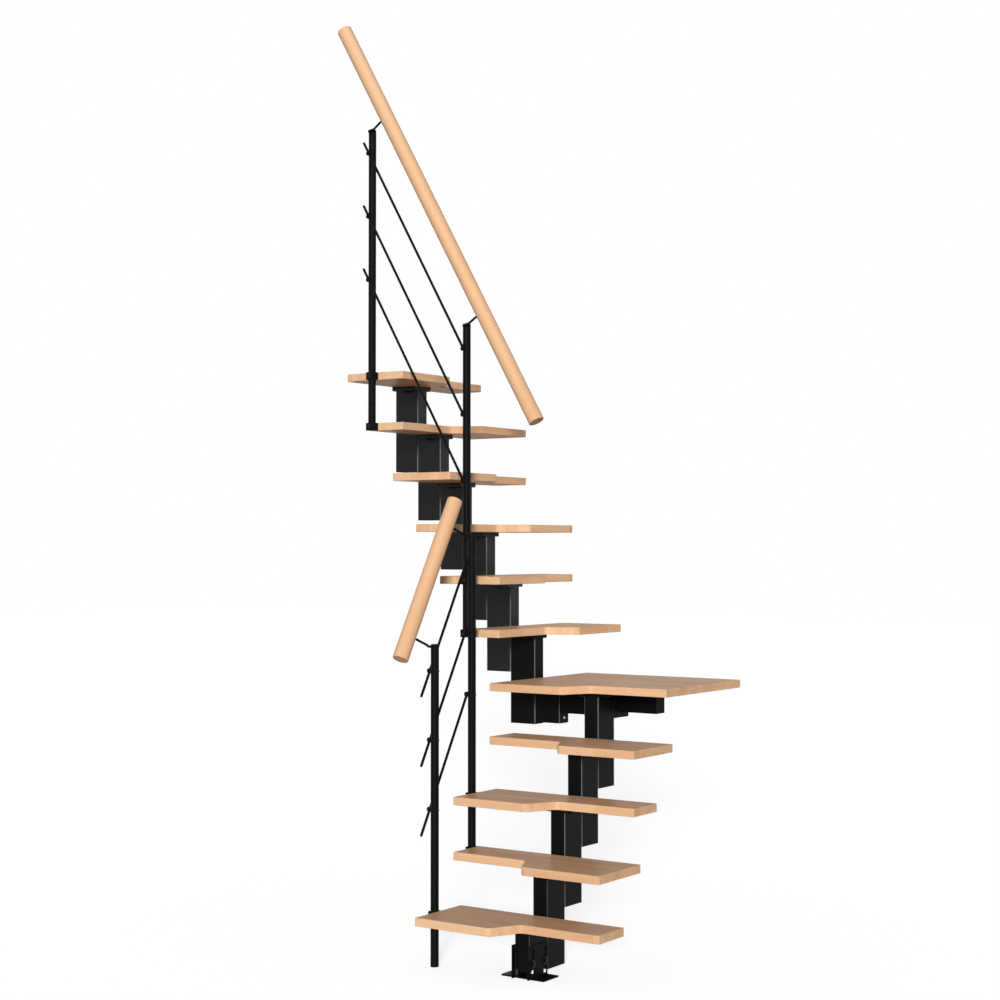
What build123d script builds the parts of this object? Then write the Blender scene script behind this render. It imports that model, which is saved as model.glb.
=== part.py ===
from build123d import *
import math
import os

os.makedirs("parts", exist_ok=True)

# Steps and flights
rise = 200.0
going = 115.0
lower_steps = 4
upper_steps = 6
landing_number = lower_steps + 1
slope = math.hypot(rise, going)
slope_run = going / slope
slope_climb = rise / slope

# Treads
tread_width = 695.0
tread_thickness = 30.0
nosing = 50.0
tread_gap = 2.0
tread_corner = 3.0
tread_edge = 2.0
sweep_lean = 58.0
sweep_radius = 22.0

# Spine modules
spine_width = 62.0
lower_spine_height = 355.0
upper_spine_height = 350.0
spine_wall = 4.0
spine_corner = 3.5
carrier_width = 116.0
carrier_height = 17.0
carrier_wall = 6.0
carrier_corner = 5.0
carrier_round = 4.0
tab_length = 35.0
tab_drop = 6.0
tab_back = 47.5

# Floor shoe
shoe_leg = 4.0
shoe_height = 116.0
shoe_seat = 30.0
shoe_front = -72.0
shoe_back = 51.0
shoe_width = 180.0
shoe_foot = 5.0
shoe_foot_back = 40.0
shoe_web_back = 8.0
shoe_corner = 3.0
shoe_slot_width = 20.0
shoe_slot_bottom = 8.0
shoe_slot_top = 104.0
shoe_slot_middle = -3.0
shoe_slot_spacing = 80.0
floor_bolt_hole = 11.0
floor_bolt_spacing_x = 126.0
floor_bolt_spacing_y = 60.0

# Landing supports
landing_gap = 5.0
hanger_height = 141.0
connector_depth = 104.0
connector_height = 103.0
beam_height = 100.0
arm_height = 82.0
arm_length = 160.5

# Balustrade
post_diameter = 30.0
post_wall = 2.0
post_height = 1190.0
post_gap = 0.5
post_round = 3.0
saddle_width = 37.0
saddle_cheek = 2.0
saddle_edge = 2.5
rod_diameter = 10.0
rod_round = 4.0
rod_offset = 22.5
rod_first_drop = 97.0
rod_spacing = 250.0
rod_count = 3
rod_free_end = 53.0
rod_free_end_upper = 27.0
rod_post_end = 5.0
clamp_diameter = 18.0
clamp_cheek = 2.0

# Handrail
rail_diameter = 58.0
rail_offset = 41.5
rail_lift = 106.0
rail_edge = 2.0
lower_rail_below = 118.0
lower_rail_above = 83.0
upper_rail_below = 509.0
upper_rail_above = 405.0
bracket_diameter = 9.0
bracket_bend = 6.0
bracket_depth = 12.0
bracket_slide = 21.0
bracket_drop = 10.0
bracket_reach = 14.0
bracket_inset = 1.0
knee_back = 22.0
knee_reach = 4.0
knee_rise = 7.0

# Each flight has its own plane: x along the climb, y to the climber's left
landing_front = (landing_number - 2) * going - nosing
landing_middle = landing_front + tread_width / 2 - going / 2
lower_flight = Plane(origin=(0, -going / 2, 0), x_dir=(0, 1, 0), z_dir=(0, 0, 1))
upper_start = -(tread_width / 2 + landing_gap)
upper_flight = Plane(origin=(upper_start, landing_middle, 0), x_dir=(-1, 0, 0), z_dir=(0, 0, 1))


def tread_top(number):
    return rise * number


def level(flight, height):
    return flight.offset(height)


def place(flight, along, left, height):
    return flight.from_local_coords(Vector(along, left, height))


def save(piece, name):
    piece.label = name
    export_step(piece, "parts/" + name + ".step")


# A tread is one going deeper on one side, and a rounded S joins its two front edges
def make_tread(flight, number, step, depth_back):
    wide_left = number % 2 == 1
    side = 1 if wide_left else -1
    half = tread_width / 2
    narrow_front = (step - 1) * going - nosing
    wide_front = narrow_front - going
    lean = sweep_lean / 2
    with BuildPart() as tread:
        with BuildSketch(level(flight, tread_top(number) - tread_thickness)) as outline:
            with BuildLine():
                Polyline(
                    (wide_front, side * half),
                    (wide_front, side * lean),
                    (narrow_front, -side * lean),
                    (narrow_front, -side * half),
                    (depth_back, -side * half),
                    (depth_back, side * half),
                    close=True,
                )
            make_face()
            inner = [corner for corner in outline.vertices() if abs(corner.Y) < half / 2]
            fillet(inner, sweep_radius)
            outer = [corner for corner in outline.vertices() if abs(corner.Y) > half - tread_edge]
            fillet(outer, tread_corner)
        extrude(amount=tread_thickness)
        rims = tread.faces().filter_by(Axis.Z).edges()
        fillet(rims, tread_edge)
    return tread.part


# A spine module is a hollow rectangular tube with the tread's carrier across its top
def make_module(flight, number, step, bottom):
    top = tread_top(number) - tread_thickness
    centre = step * going - going / 2
    with BuildPart() as module:
        with BuildSketch(level(flight, top)):
            with Locations((centre, 0)):
                RectangleRounded(going, carrier_width, carrier_corner)
        extrude(amount=-carrier_height)
        fillet(module.faces().sort_by(Axis.Z)[0].edges(), carrier_round)
        with BuildSketch(level(flight, bottom)):
            with Locations((centre, 0)):
                RectangleRounded(going, spine_width, spine_corner)
        extrude(amount=top - bottom)
        with BuildSketch(level(flight, bottom)):
            with Locations((centre, 0)):
                Rectangle(going - 2 * spine_wall, spine_width - 2 * spine_wall)
        extrude(amount=top - bottom - carrier_wall, mode=Mode.SUBTRACT)
        pocket_width = (carrier_width - spine_width) / 2 - carrier_wall
        pocket_middle = spine_width / 2 + pocket_width / 2
        with BuildSketch(level(flight, top - carrier_height)):
            with Locations((centre, pocket_middle), (centre, -pocket_middle)):
                Rectangle(going - 2 * carrier_wall, pocket_width)
        extrude(amount=carrier_height - carrier_wall, mode=Mode.SUBTRACT)
        tab_side = (carrier_width - carrier_wall) / 2
        tab_middle = step * going - tab_back
        with BuildSketch(level(flight, top - carrier_wall)):
            with Locations((tab_middle, tab_side), (tab_middle, -tab_side)):
                Rectangle(tab_length, carrier_wall)
        extrude(amount=carrier_wall - carrier_height - tab_drop)
    return module.part


# The shoe clasps the lowest module between two slotted legs, each with an outward foot
with BuildPart() as floor_shoe:
    foot_front = -going / 2
    foot_middle = (foot_front + shoe_foot_back) / 2
    with BuildSketch(Plane.XY) as feet:
        with Locations((0, foot_middle)):
            Rectangle(shoe_width, shoe_foot_back - foot_front)
        fillet(feet.vertices(), shoe_corner)
        with Locations((0, (shoe_web_back + shoe_foot_back) / 2)):
            Rectangle(spine_width, shoe_foot_back - shoe_web_back, mode=Mode.SUBTRACT)
        with Locations((0, foot_middle)):
            with GridLocations(floor_bolt_spacing_x, floor_bolt_spacing_y, 2, 2):
                Circle(floor_bolt_hole / 2, mode=Mode.SUBTRACT)
    extrude(amount=shoe_foot)
    leg_side = (spine_width + shoe_leg) / 2
    leg_middle = (shoe_front + shoe_back) / 2
    with BuildSketch(Plane.XY):
        with Locations((leg_side, leg_middle), (-leg_side, leg_middle)):
            Rectangle(shoe_leg, shoe_back - shoe_front)
    extrude(amount=shoe_height)
    slot_height = shoe_slot_top - shoe_slot_bottom
    slot_centre = shoe_slot_bottom + slot_height / 2
    front_slot = shoe_slot_middle - shoe_slot_spacing / 2
    back_slot = shoe_slot_middle + shoe_slot_spacing / 2
    with BuildSketch(Plane.YZ):
        with Locations((front_slot, slot_centre), (back_slot, slot_centre)):
            RectangleRounded(shoe_slot_width, slot_height, shoe_corner)
    extrude(amount=shoe_width, both=True, mode=Mode.SUBTRACT)
save(floor_shoe.part, "floor_shoe")

# Lower flight: the first module is short and sits in the shoe
for step in range(1, lower_steps + 1):
    save(make_tread(lower_flight, step, step, step * going - tread_gap), "tread_%02d" % step)

save(make_module(lower_flight, 1, 1, shoe_seat), "spine_module_01")
for step in range(2, landing_number + 1):
    bottom = tread_top(step) - tread_thickness - lower_spine_height
    save(make_module(lower_flight, step, step, bottom), "spine_module_%02d" % step)

# Landing
landing_back = landing_front + tread_width
save(make_tread(lower_flight, landing_number, landing_number, landing_back), "landing")
landing_under = tread_top(landing_number) - tread_thickness
half_spine = spine_width / 2


# The landing rests on hollow boxes as wide as the spine
def make_support(flight, start, end, height):
    with BuildPart() as support:
        with BuildSketch(level(flight, landing_under - height)):
            with Locations(((start + end) / 2, 0)):
                Rectangle(end - start, spine_width)
        extrude(amount=height)
        with BuildSketch(level(flight, landing_under - height)):
            with Locations(((start + end) / 2, 0)):
                Rectangle(end - start - 2 * spine_wall, spine_width - 2 * spine_wall)
        extrude(amount=height - spine_wall, mode=Mode.SUBTRACT)
    return support.part


spine_end = landing_number * going
save(make_support(upper_flight, -going, 0, hanger_height), "landing_hanger")
save(
    make_support(lower_flight, spine_end, spine_end + connector_depth, connector_height),
    "landing_connector",
)
save(make_support(upper_flight, upper_start + half_spine, -going, beam_height), "landing_beam")
arm_end = upper_start - half_spine
save(make_support(upper_flight, arm_end - arm_length, arm_end, arm_height), "landing_arm")

# Upper flight
for step in range(1, upper_steps + 1):
    number = landing_number + step
    save(make_tread(upper_flight, number, step, step * going - tread_gap), "tread_%02d" % number)
    bottom = tread_top(number) - tread_thickness - upper_spine_height
    save(make_module(upper_flight, number, step, bottom), "spine_module_%02d" % number)

# Balustrade positions: every post stands at the middle of an odd tread's wide end
post_radius = post_diameter / 2
post_left = tread_width / 2 + post_gap + post_radius


def wide_middle(step):
    return (step - 1) * going - (tread_gap + nosing) / 2


post_specs = [
    ("post_a", lower_flight, 1, 1),
    ("post_b", lower_flight, 3, 3),
    ("post_c", upper_flight, 2, landing_number + 2),
    ("post_d", upper_flight, 6, landing_number + 6),
]


def post_foot(number):
    return max(0, tread_top(number - 1) - tread_thickness)


def post_top(number):
    return tread_top(number - 1) - tread_thickness + post_height


# The bracket's pin crosses the post, hooks back at once and climbs into the rail's underside
def make_bracket_points(flight, along, top):
    height = top - bracket_drop
    root = place(flight, along, post_left - post_radius + bracket_inset, height)
    corner = place(flight, along, post_left + post_radius + bracket_reach, height)
    knee = place(flight, along - knee_back, post_left + post_radius + knee_reach, height + knee_rise)
    rail_back = rail_lift * slope_climb + bracket_slide * slope_run
    rail_rise = rail_lift * slope_run - bracket_slide * slope_climb
    rail_point = place(flight, along - rail_back, post_left + rail_offset, top + rail_rise)
    inward = (rail_point - knee).normalized()
    end = rail_point - inward * (rail_diameter / 2 - bracket_depth)
    return root, corner, knee, end


def make_bracket(flight, along, top):
    root, corner, knee, end = make_bracket_points(flight, along, top)
    with BuildPart() as bracket:
        with BuildLine() as path:
            FilletPolyline(root, corner, knee, end, radius=bracket_bend)
        with BuildSketch(Plane(origin=root, z_dir=corner - root)):
            Circle(bracket_diameter / 2)
        sweep(path=path.line)
    return bracket.part


def make_post(flight, along, foot, top):
    pin_start = place(flight, along, post_left, top - bracket_drop)
    with BuildPart() as post:
        with BuildSketch(level(flight, foot)):
            with Locations((along, post_left)):
                Circle(post_radius)
        extrude(amount=top - foot)
        fillet(post.faces().sort_by(Axis.Z)[-1].edges(), post_round)
        with BuildSketch(level(flight, foot)):
            with Locations((along, post_left)):
                Circle(post_radius - post_wall)
        extrude(amount=top - foot - post_wall, mode=Mode.SUBTRACT)
        with BuildSketch(Plane(origin=pin_start, z_dir=flight.y_dir)):
            Circle(bracket_diameter / 2)
        extrude(amount=post_diameter, both=True, mode=Mode.SUBTRACT)
    return post.part


# A saddle block as thick as the tread joins the post to its end
def make_saddle(flight, along, number):
    under = tread_top(number) - tread_thickness
    inner = tread_width / 2
    outer = post_left + post_radius + saddle_cheek
    with BuildPart() as saddle:
        with BuildSketch(level(flight, under)):
            with Locations((along, (inner + outer) / 2)):
                Rectangle(saddle_width, outer - inner)
        extrude(amount=tread_thickness)
        outward = Axis(flight.origin, flight.y_dir)
        fillet(saddle.faces().sort_by(outward)[-1].edges(), saddle_edge)
        with BuildSketch(level(flight, under)):
            with Locations((along, post_left)):
                Circle(post_radius)
        extrude(amount=tread_thickness, mode=Mode.SUBTRACT)
    return saddle.part


def rod_height(top, index):
    return top - rod_first_drop - index * rod_spacing


def make_rod(flight, start, end, anchor, height):
    low = place(flight, start, post_left + rod_offset, height + (start - anchor) * rise / going)
    high = place(flight, end, post_left + rod_offset, height + (end - anchor) * rise / going)
    with BuildPart() as rod:
        with BuildSketch(Plane(origin=low, z_dir=high - low)):
            Circle(rod_diameter / 2)
        extrude(amount=(high - low).length)
        fillet(rod.edges().filter_by(GeomType.CIRCLE), rod_round)
    return rod.part


# A clamp is a short round bar that stands on the post and holds the rod
def make_clamp(flight, along, height):
    outer = post_left + rod_offset + rod_diameter / 2 + clamp_cheek
    axis_point = place(flight, along, post_left, height)
    centre = place(flight, along, post_left + rod_offset, height)
    above = place(flight, along + going, post_left + rod_offset, height + rise)
    with BuildPart() as clamp:
        with BuildSketch(Plane(origin=axis_point, z_dir=flight.y_dir)):
            Circle(clamp_diameter / 2)
        extrude(amount=outer - post_left)
        with BuildSketch(level(flight, height - clamp_diameter)):
            with Locations((along, post_left)):
                Circle(post_radius)
        extrude(amount=2 * clamp_diameter, mode=Mode.SUBTRACT)
        with BuildSketch(Plane(origin=centre, z_dir=above - centre)):
            Circle(rod_diameter / 2)
        extrude(amount=clamp_diameter, both=True, mode=Mode.SUBTRACT)
    return clamp.part


for name, flight, step, number in post_specs:
    along = wide_middle(step)
    top = post_top(number)
    save(make_post(flight, along, post_foot(number), top), name)
    save(make_bracket(flight, along, top), "rail_bracket_" + name[-1])


def save_group(pieces, name):
    save(Compound(children=pieces), name)


def make_balustrade(flight, low, high, start, end, prefix):
    saddles = []
    clamps = []
    for step, number in (low, high):
        along = wide_middle(step)
        top = post_top(number)
        for tread_number in (number - 1, number):
            if tread_number > 0:
                saddles.append(make_saddle(flight, along, tread_number))
        for index in range(rod_count):
            clamps.append(make_clamp(flight, along, rod_height(top, index)))
    anchor = wide_middle(low[0])
    rods = []
    for index in range(rod_count):
        rods.append(make_rod(flight, start, end, anchor, rod_height(post_top(low[1]), index)))
    save_group(saddles, prefix + "_post_saddles")
    save_group(clamps, prefix + "_rod_clamps")
    save_group(rods, prefix + "_rods")


def make_handrail(flight, low, high, below, above, name):
    low_along = wide_middle(low[0])
    high_along = wide_middle(high[0])
    left = post_left + rail_offset
    low_top = post_top(low[1])
    high_top = post_top(high[1])
    start = place(
        flight,
        low_along - rail_lift * slope_climb - below * slope_run,
        left,
        low_top + rail_lift * slope_run - below * slope_climb,
    )
    end = place(
        flight,
        high_along - rail_lift * slope_climb + above * slope_run,
        left,
        high_top + rail_lift * slope_run + above * slope_climb,
    )
    with BuildPart() as rail:
        with BuildSketch(Plane(origin=start, z_dir=end - start)):
            Circle(rail_diameter / 2)
        extrude(amount=(end - start).length)
        fillet(rail.edges().filter_by(GeomType.CIRCLE), rail_edge)
        for along, top in ((low_along, low_top), (high_along, high_top)):
            knee, socket = make_bracket_points(flight, along, top)[2:]
            with BuildSketch(Plane(origin=socket, z_dir=knee - socket)):
                Circle(bracket_diameter / 2)
            extrude(amount=rail_diameter, mode=Mode.SUBTRACT)
    save(rail.part, name)


low_posts = [spec[2:] for spec in post_specs[:2]]
high_posts = [spec[2:] for spec in post_specs[2:]]
make_balustrade(
    lower_flight,
    low_posts[0],
    low_posts[1],
    wide_middle(low_posts[0][0]) - rod_free_end,
    wide_middle(low_posts[1][0]) + rod_post_end,
    "lower",
)
make_balustrade(
    upper_flight,
    high_posts[0],
    high_posts[1],
    wide_middle(high_posts[0][0]) - rod_post_end,
    wide_middle(high_posts[1][0]) + rod_free_end_upper,
    "upper",
)
make_handrail(
    lower_flight, low_posts[0], low_posts[1], lower_rail_below, lower_rail_above, "lower_handrail"
)
make_handrail(
    upper_flight, high_posts[0], high_posts[1], upper_rail_below, upper_rail_above, "upper_handrail"
)
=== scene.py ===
import math

import bpy
from mathutils import Euler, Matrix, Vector


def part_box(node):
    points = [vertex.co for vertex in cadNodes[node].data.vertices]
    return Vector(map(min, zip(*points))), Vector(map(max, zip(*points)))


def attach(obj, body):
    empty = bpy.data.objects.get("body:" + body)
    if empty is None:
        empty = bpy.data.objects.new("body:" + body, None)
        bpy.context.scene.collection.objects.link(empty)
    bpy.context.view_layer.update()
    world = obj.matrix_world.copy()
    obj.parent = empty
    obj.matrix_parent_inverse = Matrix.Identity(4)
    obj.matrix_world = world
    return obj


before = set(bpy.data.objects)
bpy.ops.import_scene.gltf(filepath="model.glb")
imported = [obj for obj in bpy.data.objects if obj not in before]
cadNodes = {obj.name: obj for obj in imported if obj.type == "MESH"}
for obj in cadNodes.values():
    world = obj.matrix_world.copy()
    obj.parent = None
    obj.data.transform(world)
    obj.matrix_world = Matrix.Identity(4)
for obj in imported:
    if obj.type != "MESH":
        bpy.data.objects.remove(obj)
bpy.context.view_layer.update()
print("frame:", len(cadNodes), "CAD nodes loaded")


# node trees
class NodeTree:
    def __init__(self, tree):
        self.tree = tree
        self.tree.nodes.clear()

    def add(self, kind, settings=None, inputs=None):
        made = self.tree.nodes.new(kind)
        for name, value in (settings or {}).items():
            if name == "stops":
                ramp = made.color_ramp
                while len(ramp.elements) < len(value):
                    ramp.elements.new(0.5)
                for element, (position, colour) in zip(ramp.elements, value):
                    element.position = position
                    element.color = (*colour, 1.0)
            else:
                setattr(made, name, value)
        for name, value in (inputs or {}).items():
            self.feed(made.inputs[name], value)
        return made

    def feed(self, socket, value):
        if isinstance(value, Maths):
            value = value.socket
        if isinstance(value, bpy.types.NodeSocket):
            self.tree.links.new(value, socket)
        elif socket.type == "RGBA" and len(value) == 3:
            socket.default_value = (*value, 1.0)
        else:
            socket.default_value = value

    def maths(self, operation, *values, clamp=False):
        settings = {"operation": operation, "use_clamp": clamp}
        made = self.add("ShaderNodeMath", settings, dict(enumerate(values)))
        return Maths(self, made.outputs[0])

    def value(self, node, output=0):
        return Maths(self, node.outputs[output])

    def mixColours(self, factor, first, second, blend="MIX"):
        settings = {"data_type": "RGBA", "blend_type": blend, "clamp_factor": True}
        made = self.add("ShaderNodeMix", settings, {0: factor, 6: first, 7: second})
        return made.outputs[2]


# a number socket that reads as arithmetic
class Maths:
    def __init__(self, graph, socket):
        self.graph = graph
        self.socket = socket

    def __add__(self, other):
        return self.graph.maths("ADD", self, other)

    def __radd__(self, other):
        return self.graph.maths("ADD", other, self)

    def __sub__(self, other):
        return self.graph.maths("SUBTRACT", self, other)

    def __rsub__(self, other):
        return self.graph.maths("SUBTRACT", other, self)

    def __mul__(self, other):
        return self.graph.maths("MULTIPLY", self, other)

    def __rmul__(self, other):
        return self.graph.maths("MULTIPLY", other, self)

    def __truediv__(self, other):
        return self.graph.maths("DIVIDE", self, other)

    def __rtruediv__(self, other):
        return self.graph.maths("DIVIDE", other, self)

    def __pow__(self, other):
        return self.graph.maths("POWER", self, other)

    def __abs__(self):
        return self.graph.maths("ABSOLUTE", self)

    def floor(self):
        return self.graph.maths("FLOOR", self)

    def fraction(self):
        return self.graph.maths("FRACT", self)

    def above(self, edge, soft):
        return self.graph.maths("MULTIPLY", self - (edge - soft / 2), 1 / soft, clamp=True)


def startMaterial(name):
    material = bpy.data.materials.new(name)
    material.use_nodes = True
    return material, NodeTree(material.node_tree)


def finishMaterial(graph, inputs):
    shader = graph.add("ShaderNodeBsdfPrincipled", None, inputs)
    graph.add("ShaderNodeOutputMaterial", None, {"Surface": shader.outputs[0]})


def objectPlace(graph, turn=(0, 0, 0)):
    coordinates = graph.add("ShaderNodeTexCoord")
    inputs = {"Vector": coordinates.outputs["Object"], "Rotation": turn}
    return graph.add("ShaderNodeMapping", {"vector_type": "POINT"}, inputs).outputs[0]


def stretched(graph, place, stretch):
    made = graph.add("ShaderNodeMapping", {"vector_type": "POINT"}, {"Vector": place, "Scale": stretch})
    return made.outputs[0]


def noise(graph, place, scale, detail=2.0, roughness=0.5):
    inputs = {"Vector": place, "Scale": scale, "Detail": detail, "Roughness": roughness}
    return graph.value(graph.add("ShaderNodeTexNoise", None, inputs), "Fac")


def whiteNoise(graph, dimensions, inputs):
    return graph.value(graph.add("ShaderNodeTexWhiteNoise", {"noise_dimensions": dimensions}, inputs))


# lacquered beech, glued up from finger-jointed staves that run along the grain
beech = {
    "pale": (0.98, 0.640, 0.390),
    "ruddy": (0.88, 0.520, 0.292),
    "deep": (0.66, 0.37, 0.205),
    "fleck": (0.47, 0.24, 0.125),
    "staveWidth": 0.043,
    "staveLength": 0.42,
    "staveStart": 0.31,
    "staveShift": 7.0,
    "grainShift": (3.0, 0.8, 1.7),
    "seamWidth": 0.012,
    "buttWidth": 0.002,
    "jointDepth": 0.35,
    "railToneScale": (0.4, 5.0, 5.0),
    "railToneRise": 0.2,
    "bandScale": (1.1, 26.0, 26.0),
    "bandDepth": 0.45,
    "fibreScale": (9.0, 300.0, 300.0),
    "boardFibre": 0.22,
    "railFibre": 0.12,
    "rayScale": (120.0, 900.0, 900.0),
    "boardFleck": 0.36,
    "railFleck": 0.10,
    "grainDepth": 0.06,
    "grainHeight": 0.0006,
    "roughness": 0.33,
    "specular": 0.02,
}


# each stave has its own tone, and its grain starts at another place
def layStaves(graph, place):
    axes = graph.add("ShaderNodeSeparateXYZ", None, {0: place})
    along, across = (graph.value(axes, n) for n in range(2))
    rows = across / beech["staveWidth"] + beech["staveStart"]
    row = rows.floor()
    start = whiteNoise(graph, "1D", {"W": row}) * beech["staveShift"]
    span = along / beech["staveLength"] + start
    cell = graph.add("ShaderNodeCombineXYZ", None, {0: row, 1: span.floor()})
    tone = whiteNoise(graph, "2D", {"Vector": cell.outputs[0]})
    seam = abs(rows.fraction() - 0.5).above(0.498 - beech["seamWidth"] / 2, beech["seamWidth"])
    butt = abs(span.fraction() - 0.5).above(0.4995 - beech["buttWidth"] / 2, beech["buttWidth"])
    joint = graph.maths("MAXIMUM", seam, butt)
    steps = {n: tone * step for n, step in enumerate(beech["grainShift"])}
    shift = graph.add("ShaderNodeCombineXYZ", None, steps)
    moved = graph.add("ShaderNodeVectorMath", {"operation": "ADD"}, {0: place, 1: shift.outputs[0]})
    return moved.outputs[0], tone, joint


def makeBeech(name, turn, kind="board"):
    material, graph = startMaterial(name)
    place = objectPlace(graph, turn)
    joint = None
    if kind == "board":
        place, tone, joint = layStaves(graph, place)
    else:
        tone = noise(graph, stretched(graph, place, beech["railToneScale"]), 1.0) + beech["railToneRise"]
    bands = noise(graph, stretched(graph, place, beech["bandScale"]), 1.0, 4.0, 0.55)
    fibre = noise(graph, stretched(graph, place, beech["fibreScale"]), 1.0, 3.0, 0.6)
    rays = noise(graph, stretched(graph, place, beech["rayScale"]), 1.0, 1.0, 0.4)
    wood = graph.mixColours(tone, beech["pale"], beech["ruddy"])
    wood = graph.mixColours(bands.above(0.56, 0.34) * beech["bandDepth"], wood, beech["deep"])
    wood = graph.mixColours(fibre.above(0.5, 0.8) * beech[kind + "Fibre"], wood, beech["deep"])
    wood = graph.mixColours(rays.above(0.67, 0.05) * beech[kind + "Fleck"], wood, beech["fleck"])
    height = fibre * 0.6
    if joint:
        wood = graph.mixColours(joint * beech["jointDepth"], wood, beech["fleck"])
        height = height - joint * 0.5
    relief = {"Strength": beech["grainDepth"], "Distance": beech["grainHeight"], "Height": height}
    bump = graph.add("ShaderNodeBump", None, relief)
    finishMaterial(graph, {
        "Base Color": wood,
        "Roughness": beech["roughness"] + fibre * 0.07 + bands * 0.05,
        "Specular IOR Level": beech["specular"],
        "Normal": bump.outputs[0],
    })
    return material


# satin black powder coat on steel, with a pale highlight painted along the tubes' rounded corners
blackCoat = {
    "colour": (0.0030, 0.0036, 0.0036),
    "dust": (0.0070, 0.0082, 0.0082),
    "dustDepth": 0.35,
    # pale colour of the painted corner highlight, which stands in for light caught on the rounded corners
    "wornAndHighlight": (0.135, 0.140, 0.140),
    "cornerReach": 0.0032,
    "cornerSoftness": 0.001,
    "carrierHeight": 0.018,
    "grainDepth": 0.06,
    "grainHeight": 0.0004,
}
# where a look has a third value, it sets how strongly the pale corner highlight is painted
coatLooks = {
    "upperModules": {"roughness": 0.30, "specular": 0.20, "wearAndHighlight": 0.90},
    "lowerModules": {"roughness": 0.34, "specular": 0.045, "wearAndHighlight": 0.90},
    "lowestModules": {"roughness": 0.34, "specular": 0.045, "wearAndHighlight": 0.35},
    "supports": {"roughness": 0.42, "specular": 0.04, "wearAndHighlight": 0.90},
    "railing": {"roughness": 0.42, "specular": 0.05},
}


# paints a pale highlight band down the tube's vertical corners, below the carrier, in place of light caught
# on the rounded corners
def paintedCornerHighlight(graph, place, corners):
    low, high, top = corners
    axes = graph.add("ShaderNodeSeparateXYZ", None, {0: place})
    soft = blackCoat["cornerSoftness"]
    wearAndHighlight = 0.75 + noise(graph, place, 14.0, 3.0, 0.6) * 0.5
    wearAndHighlight = wearAndHighlight * (top - graph.value(axes, 2)).above(0.0, soft)
    for n in range(2):
        fromMiddle = abs(graph.value(axes, n) - (low[n] + high[n]) / 2)
        wearAndHighlight = wearAndHighlight * fromMiddle.above((high[n] - low[n]) / 2 - blackCoat["cornerReach"], soft)
    return wearAndHighlight


def makeBlackCoat(name, look, corners=None):
    material, graph = startMaterial(name)
    place = objectPlace(graph)
    peel = noise(graph, place, 300.0, 1.0, 0.5)
    cloud = noise(graph, place, 9.0, 3.0, 0.55)
    dust = cloud.above(0.55, 0.5) * blackCoat["dustDepth"]
    colour = graph.mixColours(dust, blackCoat["colour"], blackCoat["dust"])
    # the corner highlight is painted into the coat's colour here
    if corners:
        wearAndHighlight = paintedCornerHighlight(graph, place, corners) * look["wearAndHighlight"]
        colour = graph.mixColours(wearAndHighlight, colour, blackCoat["wornAndHighlight"])
    relief = {"Strength": blackCoat["grainDepth"], "Distance": blackCoat["grainHeight"], "Height": peel}
    bump = graph.add("ShaderNodeBump", None, relief)
    finishMaterial(graph, {
        "Base Color": colour,
        "Roughness": look["roughness"] + cloud * 0.10 + peel * 0.04,
        "Specular IOR Level": look["specular"],
        "Normal": bump.outputs[0],
    })
    return material


# blackened bolts and bright zinc
blackBolt = {"colour": (0.010, 0.011, 0.011), "wornAndHighlight": (0.040, 0.043, 0.043), "roughness": 0.38}
zinc = {"colour": (0.66, 0.66, 0.64), "wornAndHighlight": (0.44, 0.45, 0.45), "roughness": 0.30}


def makeBoltMetal(name, look):
    material, graph = startMaterial(name)
    place = objectPlace(graph)
    wearAndHighlight = noise(graph, place, 420.0, 3.0, 0.6)
    colour = graph.mixColours(wearAndHighlight.above(0.55, 0.25) * 0.6, look["colour"], look["wornAndHighlight"])
    bump = graph.add("ShaderNodeBump", None, {"Strength": 0.15, "Distance": 0.0003, "Height": wearAndHighlight})
    finishMaterial(graph, {
        "Base Color": colour,
        "Metallic": 0.9,
        "Roughness": look["roughness"] + wearAndHighlight * 0.2,
        "Normal": bump.outputs[0],
    })
    return material


def slopeTurn(node):
    low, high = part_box(node)
    run = high - low
    return math.atan2(run.z, max(run.x, run.y))


beechAlongX = makeBeech("beechTreadLower", (0, 0, 0))
beechAlongY = makeBeech("beechTreadUpper", (0, 0, math.radians(-90)))
railAngle = slopeTurn("upper_handrail")
beechLowerRail = makeBeech("beechLowerRail", Euler((-railAngle, 0, math.radians(-90))), "rail")
beechUpperRail = makeBeech("beechUpperRail", Euler((0, -railAngle, 0)), "rail")
supportCoat = makeBlackCoat("blackCoatSupport", coatLooks["supports"])
railingCoat = makeBlackCoat("blackCoatRailing", coatLooks["railing"])
blackBoltMetal = makeBoltMetal("blackBolts", blackBolt)
zincMetal = makeBoltMetal("zincBolt", zinc)


def tubeCorners(name):
    boxLow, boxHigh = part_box(name)
    bottom = boxLow.z + 0.001
    ring = [vertex.co for vertex in cadNodes[name].data.vertices if vertex.co.z < bottom]
    low = [min(point[n] for point in ring) for n in range(2)]
    high = [max(point[n] for point in ring) for n in range(2)]
    return low, high, boxHigh.z - blackCoat["carrierHeight"]


def moduleLook(number):
    if number < 3:
        return "lowestModules"
    return "lowerModules" if number < 7 else "upperModules"


def finishFor(name):
    if name == "lower_handrail":
        return beechLowerRail
    if name == "upper_handrail":
        return beechUpperRail
    if name == "landing":
        return beechAlongX
    if name.startswith("tread_"):
        return beechAlongX if int(name[-2:]) < 5 else beechAlongY
    if name.startswith(("post_", "rail_bracket", "lower_", "upper_")):
        return railingCoat
    if name.startswith("spine_module_"):
        return makeBlackCoat("coat_" + name, coatLooks[moduleLook(int(name[-2:]))], tubeCorners(name))
    if name == "landing_hanger":
        return makeBlackCoat("coat_" + name, coatLooks["supports"], tubeCorners(name))
    return supportCoat


for name, node in cadNodes.items():
    node.data.materials.clear()
    node.data.materials.append(finishFor(name))
print("finishes: beech and black coat given to every CAD node")


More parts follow.
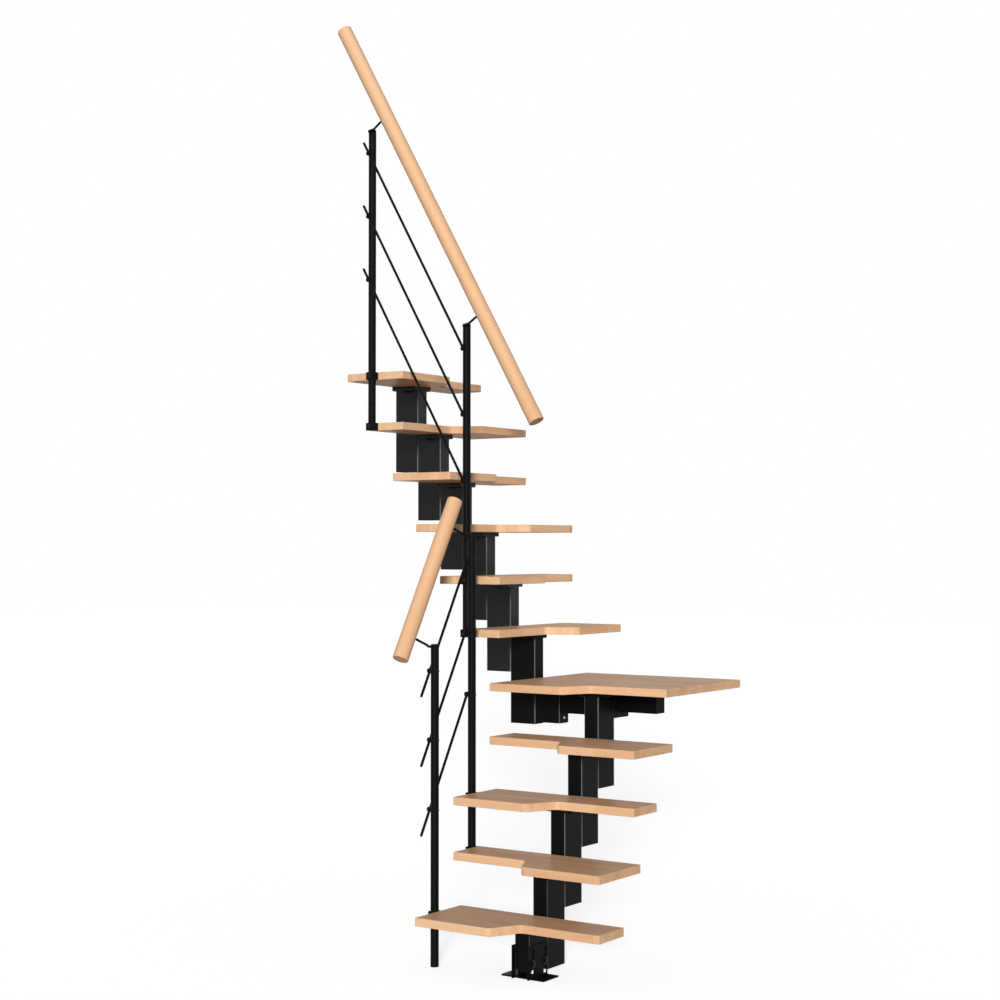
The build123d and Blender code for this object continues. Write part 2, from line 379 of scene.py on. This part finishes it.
# screws and bolts: one head of each kind, copied to its places by geometry nodes
class NodeGroup(NodeTree):
    def __init__(self, name, sockets):
        group = bpy.data.node_groups.new(name, "GeometryNodeTree")
        super().__init__(group)
        group.interface.new_socket("Geometry", in_out="OUTPUT", socket_type="NodeSocketGeometry")
        self.socketNames = {}
        for title, kind in sockets.items():
            made = group.interface.new_socket(title, in_out="INPUT", socket_type=kind)
            self.socketNames[title] = made.identifier
        self.entry = self.add("NodeGroupInput")

    def given(self, title):
        return self.value(self.entry, title)

    def raised(self, part, height):
        offset = self.add("ShaderNodeCombineXYZ", None, {2: height})
        inputs = {"Geometry": part, "Translation": offset.outputs[0]}
        return self.add("GeometryNodeTransform", None, inputs).outputs[0]

    def disc(self, sides, radius, depth):
        inputs = {"Vertices": sides, "Radius": radius, "Depth": depth}
        return self.add("GeometryNodeMeshCylinder", {"fill_type": "NGON"}, inputs).outputs[0]


def makeFastenerTree():
    graph = NodeGroup("fasteners", {
        "Geometry": "NodeSocketGeometry",
        "Head Sides": "NodeSocketInt",
        "Head Radius": "NodeSocketFloat",
        "Top Radius": "NodeSocketFloat",
        "Head Height": "NodeSocketFloat",
        "Socket Radius": "NodeSocketFloat",
        "Socket Depth": "NodeSocketFloat",
        "Washer Radius": "NodeSocketFloat",
        "Washer Height": "NodeSocketFloat",
        "Seed": "NodeSocketInt",
        "Finish": "NodeSocketMaterial",
    })
    headHeight = graph.given("Head Height")
    washerHeight = graph.given("Washer Height")
    head = graph.add("GeometryNodeMeshCone", {"fill_type": "NGON"}, {
        "Vertices": graph.given("Head Sides"),
        "Radius Top": graph.given("Top Radius"),
        "Radius Bottom": graph.given("Head Radius"),
        "Depth": headHeight,
    })
    socket = graph.disc(6, graph.given("Socket Radius"), graph.given("Socket Depth") * 2.0)
    cutting = {0: head.outputs[0], 1: graph.raised(socket, headHeight)}
    cut = graph.add("GeometryNodeMeshBoolean", {"operation": "DIFFERENCE", "solver": "EXACT"}, cutting)
    washer = graph.disc(28, graph.given("Washer Radius"), washerHeight)
    whole = graph.add("GeometryNodeJoinGeometry")
    graph.feed(whole.inputs[0], graph.raised(cut.outputs[0], washerHeight))
    graph.feed(whole.inputs[0], graph.raised(washer, washerHeight / 2.0))
    facing = graph.add("GeometryNodeInputNamedAttribute", {"data_type": "FLOAT_VECTOR"}, {"Name": "facing"})
    upright = graph.add("FunctionNodeAlignRotationToVector", {"axis": "Z"}, {"Vector": facing.outputs[0]})
    chance = {2: 0.0, 3: math.tau, "Seed": graph.given("Seed")}
    angle = graph.add("FunctionNodeRandomValue", {"data_type": "FLOAT"}, chance).outputs[1]
    spin = graph.add("FunctionNodeAxisAngleToRotation", None, {"Axis": (0, 0, 1), "Angle": angle})
    turned = graph.add("FunctionNodeRotateRotation", {"rotation_space": "LOCAL"}, {
        "Rotation": upright.outputs[0],
        "Rotate By": spin.outputs[0],
    })
    copies = graph.add("GeometryNodeInstanceOnPoints", None, {
        "Points": graph.given("Geometry"),
        "Instance": whole.outputs[0],
        "Rotation": turned.outputs[0],
    })
    solid = graph.add("GeometryNodeRealizeInstances", None, {0: copies.outputs[0]})
    dressing = {"Geometry": solid.outputs[0], "Material": graph.given("Finish")}
    dressed = graph.add("GeometryNodeSetMaterial", None, dressing)
    graph.add("NodeGroupOutput", None, {0: dressed.outputs[0]})
    return graph


fastenerTree = makeFastenerTree()


def makeFasteners(name, places, size, finish):
    points = bpy.data.meshes.new(name + "Points")
    points.from_pydata([place for place, facing in places], [], [])
    attribute = points.attributes.new("facing", "FLOAT_VECTOR", "POINT")
    attribute.data.foreach_set("vector", [value for place, facing in places for value in facing])
    piece = bpy.data.objects.new(name, points)
    bpy.context.scene.collection.objects.link(piece)
    copier = piece.modifiers.new("copies", "NODES")
    copier.node_group = fastenerTree.tree
    for title, value in size.items():
        copier[fastenerTree.socketNames[title]] = value
    copier[fastenerTree.socketNames["Seed"]] = 7
    copier[fastenerTree.socketNames["Finish"]] = finish
    context = bpy.context.evaluated_depsgraph_get()
    solid = bpy.data.meshes.new_from_object(piece.evaluated_get(context))
    piece.modifiers.clear()
    piece.data = solid
    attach(piece, "root")
    print("fasteners:", name, len(places), "places,", len(solid.polygons), "faces")


# black screws at both ends of each carrier's long sides
carrierScrews = {
    "drop": 0.0080,
    "fromBack": (0.011, 0.085),
    "size": {
        "Head Sides": 16,
        "Head Radius": 0.0055,
        "Top Radius": 0.0038,
        "Head Height": 0.0028,
        "Socket Radius": 0.0024,
        "Socket Depth": 0.0016,
        "Washer Radius": 0.0060,
        "Washer Height": 0.0006,
    },
}


def placeCarrierScrews():
    places = []
    for number in range(1, 12):
        low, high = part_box("spine_module_%02d" % number)
        height = high.z - carrierScrews["drop"]
        for back in carrierScrews["fromBack"]:
            if number < 6:
                places.append(((low.x, high.y - back, height), (-1, 0, 0)))
                places.append(((high.x, high.y - back, height), (1, 0, 0)))
            else:
                places.append(((low.x + back, low.y, height), (0, -1, 0)))
                places.append(((low.x + back, high.y, height), (0, 1, 0)))
    return places


makeFasteners("carrier_screws", placeCarrierScrews(), carrierScrews["size"], blackBoltMetal)

# black discs that close the saddles, and the screws that hold the rod clamps
posts = {
    "post_a": ("lower", ("tread_01",)),
    "post_b": ("lower", ("tread_02", "tread_03")),
    "post_c": ("upper", ("tread_06", "tread_07")),
    "post_d": ("upper", ("tread_10", "tread_11")),
}
saddleScrews = {
    "size": {
        "Head Sides": 24,
        "Head Radius": 0.0085,
        "Top Radius": 0.0072,
        "Head Height": 0.0022,
        "Socket Radius": 0.0029,
        "Socket Depth": 0.0015,
        "Washer Radius": 0.0088,
        "Washer Height": 0.0006,
    },
}
clampScrews = {
    "drop": 0.097,
    "spacing": 0.250,
    "sunk": 0.0010,
    "size": {
        "Head Sides": 16,
        "Head Radius": 0.0055,
        "Top Radius": 0.0036,
        "Head Height": 0.0030,
        "Socket Radius": 0.0024,
        "Socket Depth": 0.0016,
        "Washer Radius": 0.0060,
        "Washer Height": 0.0010,
    },
}


def placeSaddleScrews():
    places = []
    for post, (flight, treads) in posts.items():
        postLow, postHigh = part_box(post)
        middle = (postLow + postHigh) / 2
        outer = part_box(flight + "_post_saddles")[0]
        for tread in treads:
            treadLow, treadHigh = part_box(tread)
            height = (treadLow.z + treadHigh.z) / 2
            if flight == "lower":
                places.append(((outer.x, middle.y, height), (-1, 0, 0)))
            else:
                places.append(((middle.x, outer.y, height), (0, -1, 0)))
    return places


def placeClampScrews():
    places = []
    for post, (flight, treads) in posts.items():
        low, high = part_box(post)
        middle = (low + high) / 2
        for row in range(3):
            height = high.z - clampScrews["drop"] - row * clampScrews["spacing"]
            if flight == "lower":
                places.append(((high.x - clampScrews["sunk"], middle.y, height), (1, 0, 0)))
            else:
                places.append(((middle.x, high.y - clampScrews["sunk"], height), (0, 1, 0)))
    return places


makeFasteners("saddle_screws", placeSaddleScrews(), saddleScrews["size"], blackBoltMetal)
makeFasteners("clamp_screws", placeClampScrews(), clampScrews["size"], blackBoltMetal)

# hexagon bolts through the shoe's slots, and one zinc bolt under the landing
shoeBolts = {
    "side": 0.035,
    "slots": (-0.043, 0.037),
    "height": 0.052,
    "size": {
        "Head Sides": 6,
        "Head Radius": 0.0098,
        "Top Radius": 0.0093,
        "Head Height": 0.0064,
        "Socket Radius": 0.0060,
        "Socket Depth": 0.0005,
        "Washer Radius": 0.0145,
        "Washer Height": 0.0025,
    },
}
hangerBolt = {
    "above": 0.021,
    "size": {
        "Head Sides": 16,
        "Head Radius": 0.0048,
        "Top Radius": 0.0036,
        "Head Height": 0.0030,
        "Socket Radius": 0.0020,
        "Socket Depth": 0.0014,
        "Washer Radius": 0.0052,
        "Washer Height": 0.0006,
    },
}


def placeShoeBolts():
    places = []
    side = shoeBolts["side"]
    for along in shoeBolts["slots"]:
        places.append(((side, along, shoeBolts["height"]), (1, 0, 0)))
        places.append(((-side, along, shoeBolts["height"]), (-1, 0, 0)))
    return places


def placeHangerBolt():
    low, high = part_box("landing_hanger")
    return [((high.x, (low.y + high.y) / 2, low.z + hangerBolt["above"]), (1, 0, 0))]


makeFasteners("shoe_bolts", placeShoeBolts(), shoeBolts["size"], blackBoltMetal)
makeFasteners("hanger_bolt", placeHangerBolt(), hangerBolt["size"], zincMetal)


# stage: floor, world and lamps
studio = {
    "floorSize": 60.0,
    "horizon": 0.50,
    "zenith": 0.10,
    "skyCurve": 0.5,
    "keyEnergy": 2.84,
    "keyHeight": 11.5,
    "keySide": 31.0,
    "keySpread": 9.0,
    "floorBounce": 0.20,
    "floorColour": 0.80,
    "floorGlow": 0.72,
}


def seenDirectly(graph):
    rays = graph.add("ShaderNodeLightPath")
    seen = graph.maths("MAXIMUM", graph.value(rays, "Is Camera Ray"), graph.value(rays, "Is Glossy Ray"))
    return graph.maths("MAXIMUM", seen, graph.value(rays, "Is Transmission Ray"))


def makeFloor():
    size = studio["floorSize"] / 2
    mesh = bpy.data.meshes.new("floor")
    corners = [(-size, -size, 0), (size, -size, 0), (size, size, 0), (-size, size, 0)]
    mesh.from_pydata(corners, [], [(0, 1, 2, 3)])
    floor = bpy.data.objects.new("floor", mesh)
    bpy.context.scene.collection.objects.link(floor)
    material, graph = startMaterial("paleFloor")
    bounce = graph.add("ShaderNodeBsdfDiffuse", None, {"Color": [studio["floorBounce"]] * 3})
    shown = graph.add("ShaderNodeBsdfDiffuse", None, {"Color": [studio["floorColour"]] * 3})
    glow = graph.add("ShaderNodeEmission", None, {"Color": (1, 1, 1), "Strength": studio["floorGlow"]})
    lit = graph.add("ShaderNodeAddShader", None, {0: shown.outputs[0], 1: glow.outputs[0]})
    choice = {0: seenDirectly(graph), 1: bounce.outputs[0], 2: lit.outputs[0]}
    mix = graph.add("ShaderNodeMixShader", None, choice)
    graph.add("ShaderNodeOutputMaterial", None, {"Surface": mix.outputs[0]})
    mesh.materials.append(material)


def makeWorld():
    world = bpy.data.worlds.new("studio")
    bpy.context.scene.world = world
    world.use_nodes = True
    graph = NodeTree(world.node_tree)
    direction = graph.add("ShaderNodeTexCoord")
    axes = graph.add("ShaderNodeSeparateXYZ", None, {0: direction.outputs["Generated"]})
    height = abs(graph.value(axes, 2)) ** studio["skyCurve"]
    strength = studio["horizon"] + height * (studio["zenith"] - studio["horizon"])
    sky = graph.add("ShaderNodeBackground", None, {"Color": (1, 1, 1), "Strength": strength})
    white = graph.add("ShaderNodeBackground", None, {"Color": (1, 1, 1), "Strength": 1.0})
    choice = {0: seenDirectly(graph), 1: sky.outputs[0], 2: white.outputs[0]}
    mix = graph.add("ShaderNodeMixShader", None, choice)
    graph.add("ShaderNodeOutputWorld", None, {"Surface": mix.outputs[0]})


def makeKeyLamp():
    lamp = bpy.data.lights.new("keySun", "SUN")
    lamp.energy = studio["keyEnergy"]
    lamp.angle = math.radians(studio["keySpread"])
    holder = bpy.data.objects.new("keySun", lamp)
    holder.rotation_euler = (math.radians(90 - studio["keyHeight"]), 0, math.radians(studio["keySide"]))
    bpy.context.scene.collection.objects.link(holder)


makeFloor()
makeWorld()
makeKeyLamp()
print("stage: floor, world and lamps")


# camera at the photograph's viewing angle
camera = {
    "place": (3.5708, -5.3474, 1.5127),
    "turn": 0.60591,
    "rise": 0.02576,
    "focalPixels": 1810.86,
    "imagePixels": 1000.0,
    "sensor": 36.0,
    "clipEnd": 200.0,
}


def makeCamera():
    lens = bpy.data.cameras.new("photoCamera")
    lens.sensor_width = camera["sensor"]
    lens.lens = camera["sensor"] * camera["focalPixels"] / camera["imagePixels"]
    lens.clip_end = camera["clipEnd"]
    holder = bpy.data.objects.new("photoCamera", lens)
    turn, rise = camera["turn"], camera["rise"]
    ahead = (-math.sin(turn) * math.cos(rise), math.cos(turn) * math.cos(rise), math.sin(rise))
    holder.location = camera["place"]
    holder.rotation_euler = Vector(ahead).to_track_quat("-Z", "Y").to_euler()
    bpy.context.scene.collection.objects.link(holder)
    bpy.context.scene.camera = holder


makeCamera()
bpy.context.scene.view_settings.view_transform = "Standard"
print("camera placed")
